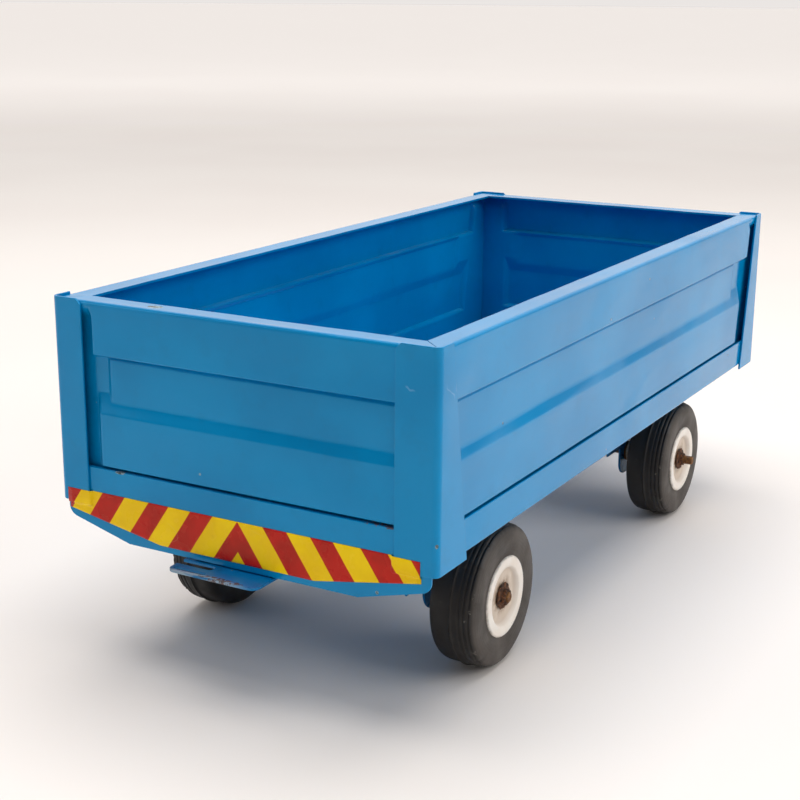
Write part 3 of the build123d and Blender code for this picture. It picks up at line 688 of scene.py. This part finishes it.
post_softness = 0.28
soft_widths = {
    "floor_tray": 0.22, "tail_apron": 0.25, "tow_hook": 0.3, "chassis_channel": 0.25,
    "rear_axle_carriage": 0.2, "front_bogie": 0.2, "drawbar_clevis": 0.2, "drawbar": 0.35,
}
for node in nodes:
    if node.startswith("corner_post"):
        softened(node, post_softness)
for node, width in soft_widths.items():
    softened(node, width)


# ---- Label ----------------------------------------------------------------------------------

def label_piece():
    """The striped film: it lies on the apron and climbs over both posts' feet."""
    middle = (label_low.y + label_high.y) / 2
    half = (label_high.y - label_low.y) / 2
    flat_half, end_rise = 31.0, 7.1     # its lower edge is level this far out, then rises this much
    lift = 0.14
    thickness = 0.1
    right_post = post_high.y
    left_post = corners("corner_post_rear_left")[0].y
    ys = stations(label_low.y, label_high.y, 2.0, 0.25, (right_post + 0.8, left_post - 0.8), 1.2)
    rows = 24
    points = []
    for row in range(rows + 1):
        for y in ys:
            rise = end_rise * max(0.0, abs(y - middle) - flat_half) / (half - flat_half)
            low = label_low.z + rise
            z = low + (label_high.z - low) * row / rows
            over = float(smooth((right_post + 1.3 - y) / 0.9) + smooth((y - left_post + 1.3) / 0.9))
            over *= float(smooth((z - foot_z + 1.3) / 0.9))
            wrinkle = 0.06 * noise.noise(Vector((y / 2.2, z / 5, 0.3))) * (4 * over * (1 - over) + 0.15)
            x = apron_face - lift - over * sheet - abs(wrinkle)
            points.append((max(x, label_low.x), y, z))
    faces = [tuple(reversed(face)) for face in grid_faces(rows + 1, len(ys))]
    piece = add_piece("label_film_sheet", mesh_from("label_film_sheet", points, faces))
    solid = piece.modifiers.new("film", "SOLIDIFY")
    solid.thickness = thickness * MM
    solid.offset = -1.0
    return stand_in(piece, "chevron_label")


label_piece()

# ---- Wheels, axles and caps -----------------------------------------------------------------

def rounded(profile):
    """Cuts a closed outline's corners, so that its edges are soft."""
    cut = []
    for here, after in zip(profile, profile[1:] + profile[:1]):
        for share in (0.25, 0.75):
            cut.append(tuple(a + (b - a) * share for a, b in zip(here, after)))
    return cut


def lathe(node, profile, side, segments, shape):
    """Turns a closed outline of (out, radius) points round a node's axle; shape moves each point."""
    name = "round_" + node
    low, high = corners(node)
    centre = Vector(((low.x + high.x) / 2, 0, (low.z + high.z) / 2))
    points = []
    for out, radius in profile:
        for turn in range(segments):
            angle = math.tau * turn / segments
            o, r = shape(out, radius, angle)
            points.append((r * math.cos(angle), side * o, r * math.sin(angle)))
    count = len(profile)
    faces = []
    for ring in range(count):
        after = (ring + 1) % count
        for turn in range(segments):
            spin = (turn + 1) % segments
            quad = (
                ring * segments + turn, ring * segments + spin,
                after * segments + spin, after * segments + turn,
            )
            faces.append(quad if side < 0 else tuple(reversed(quad)))
    mesh = mesh_from(name, points, faces)
    outside = bmesh.new()
    outside.from_mesh(mesh)
    bmesh.ops.recalc_face_normals(outside, faces=outside.faces)
    outside.to_mesh(mesh)
    outside.free()
    piece = add_piece(name, mesh)
    piece.location = centre * MM
    return stand_in(piece, node)


# How far a tyre's inner sidewall stands past the CAD tyre's, for the photo's wider tread
inner_bulge = 1.5


def tyre_piece(node, side, seed):
    """A tyre: ribbed tread, soft shoulders, small nicks on the outer shoulder and an uneven skin."""
    low, high = corners(node)
    inner, outer = sorted((abs(low.y), abs(high.y)))
    inner -= inner_bulge
    radius = (high.z - low.z) / 2
    hub = corners(node.replace("tyre", "hub"))
    bead = (hub[1].z - hub[0].z) / 2
    profile = [
        (outer - 0.9, bead - 0.4), (outer - 0.35, bead + 0.1), (outer - 0.55, bead + 0.9),
        (outer - 0.5, bead + 1.6), (outer - 0.25, bead + 3.0), (outer, radius - 6.4),
        (outer, radius - 4.4), (outer - 0.35, radius - 2.7), (outer - 1.0, radius - 1.6),
        (outer - 1.7, radius - 1.0), (outer - 1.95, radius - 1.25), (outer - 2.35, radius - 1.25),
        (outer - 2.6, radius - 0.75), (outer - 3.5, radius - 0.55), (outer - 3.75, radius - 0.9),
        (outer - 4.1, radius - 0.9), (outer - 4.35, radius - 0.5), (outer - 5.4, radius - 0.42),
        (outer - 5.6, radius - 0.7), (outer - 5.9, radius - 0.7), (outer - 6.1, radius - 0.42),
        (inner + 9.9, radius - 0.5), (inner + 9.6, radius - 0.02), (inner + 9.3, radius - 0.02),
        (inner + 9.0, radius - 0.7), (inner + 5.0, radius - 0.6), (inner + 2.6, radius - 0.8),
        (inner + 1.2, radius - 1.5), (inner + 0.3, radius - 3.0), (inner, radius - 5.0),
        (inner + 0.1, bead + 3.0), (inner + 0.5, bead + 0.2), (inner + 2.3, bead - 0.4),
    ]
    nicks = [((seed * 37 + k * k * 29) % 360, 0.35 + 0.1 * (k % 3)) for k in range(9)]

    def shape(out, r, angle):
        if r > radius - 3 and out > outer - 3:
            for place, depth in nicks:
                away = abs((math.degrees(angle) - place + 180) % 360 - 180)
                r -= depth * max(0.0, 1 - away / 2.2)
        if r < radius - 0.1:
            r += 0.06 * noise.noise(Vector((3 * math.cos(angle), 3 * math.sin(angle), seed + out)))
        return out, min(r, radius)

    lathe(node, rounded(profile), side, 180, shape)


def hub_piece(node, side, seed):
    """A moulded hub: an inner boss, a web, a rim round the tyre's bead and four lumps in its dish."""
    low, high = corners(node)
    inner, outer = sorted((abs(low.y), abs(high.y)))
    rim = (high.z - low.z) / 2
    bore = 2.05
    recess = outer - 1.9
    web_back = recess - 5.0
    tyre = corners(node.replace("hub", "tyre"))
    rim_start = min(abs(tyre[0].y), abs(tyre[1].y)) + 0.9
    profile = [
        (inner, bore), (inner, 4.8), (inner + 0.4, 5.0), (web_back - 0.5, 5.0), (web_back, 5.5),
        (web_back, rim - 3.2), (web_back - 0.4, rim - 3.0), (rim_start, rim - 3.0),
        (rim_start, rim - 0.3), (rim_start + 0.3, rim), (rim_start + 1.1, rim),
        (rim_start + 1.2, rim - 1.0), (outer - 1.3, rim - 1.0),
        (outer - 1.2, rim - 0.1), (outer - 0.5, rim), (outer - 0.15, rim - 0.3), (outer, rim - 0.8),
        (outer, rim - 2.2), (outer - 0.05, rim - 3.3), (outer - 0.35, rim - 4.0),
        (recess + 0.4, rim - 4.5), (recess + 0.05, rim - 5.2), (recess, rim - 6.4),
        (recess, rim - 7.4), (recess, 6.2), (recess, 5.4), (recess, bore + 0.2), (recess, bore),
    ]

    def shape(out, r, angle):
        if out > recess - 0.1 and 5.6 < r < rim - 4.6:
            ridge = math.exp(-((r - 7.9) / 1.1) ** 2)
            lumps = max(0.0, math.cos(4 * angle + seed)) ** 3
            out += 0.55 * ridge * lumps + 0.12 * noise.noise(Vector((r, 4 * angle, seed)))
        return out, r

    lathe(node, profile, side, 128, shape)


def cap_piece(node, side, seed):
    """A pushed-on cap: a disc with a raised middle, eaten by rust into three lobes and crumbs."""
    low, high = corners(node)
    start, stop = sorted((abs(low.y), abs(high.y)))
    disc = (high.z - low.z) / 2
    profile = [
        (start, 2.0), (start, disc - 0.5), (start + 0.1, disc - 0.05), (start + 0.45, disc),
        (start + 0.75, disc - 0.4), (start + 0.8, disc - 1.1), (start + 0.9, disc - 1.7),
        (start + 1.5, disc - 1.95), (stop - 0.35, disc - 2.1), (stop, disc - 2.7),
        (stop - 0.05, 2.3), (stop - 0.3, 2.0),
    ]

    def shape(out, r, angle):
        if r < 2.1:
            return out, r
        lumps = 0.35 * max(0.0, math.cos(3 * angle + seed))
        crumbs = noise.noise(Vector((r * math.cos(angle), r * math.sin(angle), out + seed)) * 0.9)
        share = min(1.0, (r - 2.0) / 1.5)
        grown = r - 0.25 * share + share * (0.45 * crumbs - 0.3 * (1 - lumps))
        return min(max(out + 0.25 * crumbs * share, start), stop), min(grown, disc)

    lathe(node, rounded(profile), side, 72, shape)


def axle_piece(node):
    """An axle rod with rounded ends and a pitted skin."""
    low, high = corners(node)
    radius = (high.z - low.z) / 2
    steps = 90
    outs = [low.y + 0.02, low.y + 0.02, low.y + 0.1, low.y + 0.35]
    outs += [low.y + 0.6 + (high.y - low.y - 1.2) * k / steps for k in range(steps + 1)]
    outs += [high.y - 0.35, high.y - 0.1, high.y - 0.02]
    radii = [0.01, radius * 0.7, radius * 0.86, radius * 0.97]
    radii += [radius] * (steps + 1) + [radius * 0.97, radius * 0.86, radius * 0.7]
    profile = list(zip(outs, radii)) + [(high.y - 0.02, 0.01)]

    def shape(out, r, angle):
        pits = noise.noise(Vector((r * math.cos(angle), r * math.sin(angle), out)) * 1.1)
        return out, r - (0.05 + 0.05 * pits) * (r > 0.1)

    lathe(node, profile, 1, 40, shape)


wheel_seed = 0      # it makes each wheel's nicks and unevenness its own
for end in ("rear", "front"):
    axle_piece(f"{end}_axle")
    for side_name, side in (("right", -1), ("left", 1)):
        wheel_seed += 3
        tyre_piece(f"tyre_{end}_{side_name}", side, wheel_seed)
        hub_piece(f"hub_{end}_{side_name}", side, wheel_seed)
        cap_piece(f"axle_cap_{end}_{side_name}", side, wheel_seed)

# Small plain parts keep their CAD meshes
plain_nodes = (
    "rear_axle_washers", "front_axle_washers", "kingpin", "channel_rivets", "drawbar_pin",
    "turntable_washer",
)
for node in plain_nodes:
    nodes[node].data.materials.clear()
    nodes[node].data.materials.append(finishes[slot_of[node]])


# ---- Floor, light and camera ----------------------------------------------------------------

floor_radius = 30000
glow_start, glow_stop = 900.0, 3600.0

# Lamps: place, width and height, power and tint; each is aimed at the same place on the trailer
lamps = {
    "key_light": ((300, -1500, 900), (1400, 900), 13.0, "FFFDFB"),
    "top_light": ((0, 0, 2000), (1900, 1900), 36.0, "FFFEFC"),
    "left_light": ((-900, 1500, 900), (1400, 900), 6.0, "FFFFFF"),
}
lamp_target = (0, 0, 60)

# The sky lights the trailer dimly, brighter overhead and brightest on one side past the head, and
# the camera sees it as an even pale wall: direction's start and stop, then the strengths there
sky_overhead = (0.02, 0.42, 0.05, 0.22)
sky_window = (0.36, 0.86, 0.0, 0.95)
window_direction = (0.83, 0.47, 0.3)
wall_strength = 0.9

# The photo's camera, fitted to the load box's corners; the angles are in degrees
camera_behind_tail, camera_y, camera_z = 372.8, -271.4, 232.6
camera_heading, camera_tilt, camera_roll = 29.388, -15.355, 0.463
camera_lens, camera_sensor = 66.7, 36.0


def studio_floor():
    """A wide pale floor that glows more with distance, so that it meets the sky without a line."""
    f = Finish("backdrop_paper")
    paper = f.mix(f.step(f.noise(400, detail=2.0), 0.3, 0.7), colour("EFEAE6"), colour("ECE6E2"))
    away = f.math("SQRT", f.math("ADD", f.both(f.x, f.x), f.both(f.y, f.y)))
    far = f.step(away, glow_start, glow_stop)
    glow = f.mix(far, (0, 0, 0, 1), (0.5, 0.478, 0.46, 1.0))
    material = f.set(
        Base_Color=paper, Roughness=0.9, Normal=f.bump(f.noise(2.0, detail=2.0), 0.01),
        Specular_IOR_Level=0.1, Emission_Color=glow, Emission_Strength=1.0,
    )
    disc = bmesh.new()
    bmesh.ops.create_circle(disc, cap_ends=True, segments=96, radius=floor_radius * MM)
    mesh = bpy.data.meshes.new("studio_floor")
    disc.to_mesh(mesh)
    disc.free()
    floor = add_piece("studio_floor", mesh)
    floor.data.materials.append(material)


def lamp(name, place, size, power, tint):
    """A rectangular lamp that the camera doesn't see."""
    data = bpy.data.lights.new(name, "AREA")
    data.shape = "RECTANGLE"
    data.size, data.size_y = (s * MM for s in size)
    data.energy = power
    data.color = colour(tint)[:3]
    made = add_piece(name, data)
    made.location = Vector(place) * MM
    aim = Vector(lamp_target) - Vector(place)
    made.rotation_euler = aim.to_track_quat("-Z", "Y").to_euler()
    made.visible_camera = False


def studio():
    """The pale sky and the three lamps."""
    world = bpy.data.worlds.new("studio")
    world.use_nodes = True
    shade = world.node_tree.nodes["Background"]
    shade.inputs["Color"].default_value = colour("F6F1EE")
    sky = Nodes(world.node_tree)
    direction = sky.add("ShaderNodeTexCoord").outputs["Generated"]
    height = sky.add("ShaderNodeSeparateXYZ", {0: direction}).outputs["Z"]
    window = {0: direction, 1: Vector(window_direction).normalized()}
    toward = sky.add("ShaderNodeVectorMath", window, operation="DOT_PRODUCT").outputs["Value"]
    glow = sky.math("ADD", sky.step(height, *sky_overhead), sky.step(toward, *sky_window))
    seen = sky.add("ShaderNodeLightPath").outputs["Is Camera Ray"]
    level = sky.add("ShaderNodeMix", {"Factor": seen, "A": glow, "B": wall_strength})
    sky.tree.links.new(level.outputs["Result"], shade.inputs["Strength"])
    bpy.context.scene.world = world
    for name, settings in lamps.items():
        lamp(name, *settings)


def photo_camera():
    """The camera stands behind the trailer's tail, to its right, a little above the box."""
    data = bpy.data.cameras.new("camera")
    data.sensor_width = camera_sensor
    data.lens = camera_lens
    heading, tilt, roll = (math.radians(a) for a in (camera_heading, camera_tilt, camera_roll))
    camera = add_piece("camera", data)
    place = Vector((tail_x - camera_behind_tail, camera_y, camera_z)) * MM
    turn = Matrix.Rotation(heading - math.pi / 2, 4, "Z") @ Matrix.Rotation(math.pi / 2 + tilt, 4, "X")
    camera.matrix_world = Matrix.Translation(place) @ turn @ Matrix.Rotation(roll, 4, "Z")
    bpy.context.scene.camera = camera


studio_floor()
studio()
photo_camera()
bpy.context.scene.view_settings.view_transform = "Standard"
